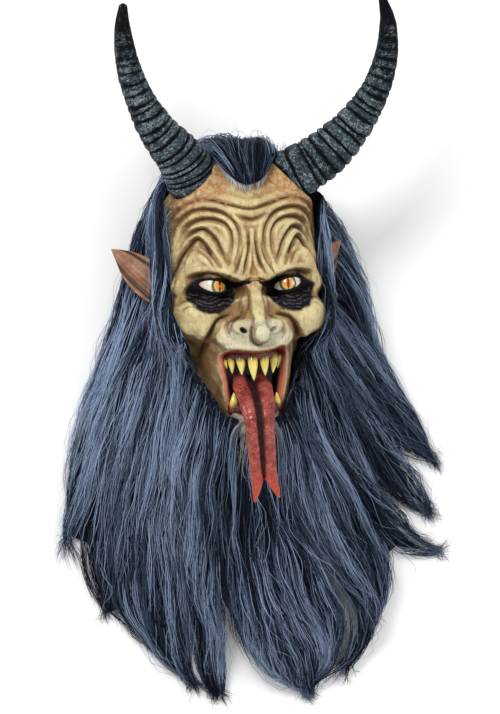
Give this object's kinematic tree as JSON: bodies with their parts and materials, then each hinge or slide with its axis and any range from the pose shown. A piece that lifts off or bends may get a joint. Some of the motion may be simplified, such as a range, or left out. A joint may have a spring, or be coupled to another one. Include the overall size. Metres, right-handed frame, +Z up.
{
  "type": "krampus mask",
  "caption": "Overhead devil mask lying on its back: hollow latex hood with ringed horns, fangs, a forked tongue, and a long fur wig and beard.",
  "frame": {"origin": "on the surface that the mask lies on, under the middle of its outline from above", "axes": "+Z up out of the face as the mask lies on its back, +Y up the face towards the horn tips, +X to the right of someone looking at the face"},
  "size_m": [0.4726, 0.8342, 0.2507],
  "materials": {
    "latex": "painted latex, satin",
    "horn": "dark painted latex with dry-brushed rings",
    "eye": "high gloss",
    "teeth": "glossy, stained",
    "tongue": "wet gloss",
    "fur": "long faux fur"
  },
  "bodies": {
    "root": {"latex_hood": "latex", "horn_left": "horn", "horn_right": "horn", "eye_left": "eye", "eye_right": "eye", "upper_teeth": "teeth", "lower_teeth": "teeth", "tongue": "tongue", "hair": "fur", "beard": "fur"}
  },
  "joints": []
}
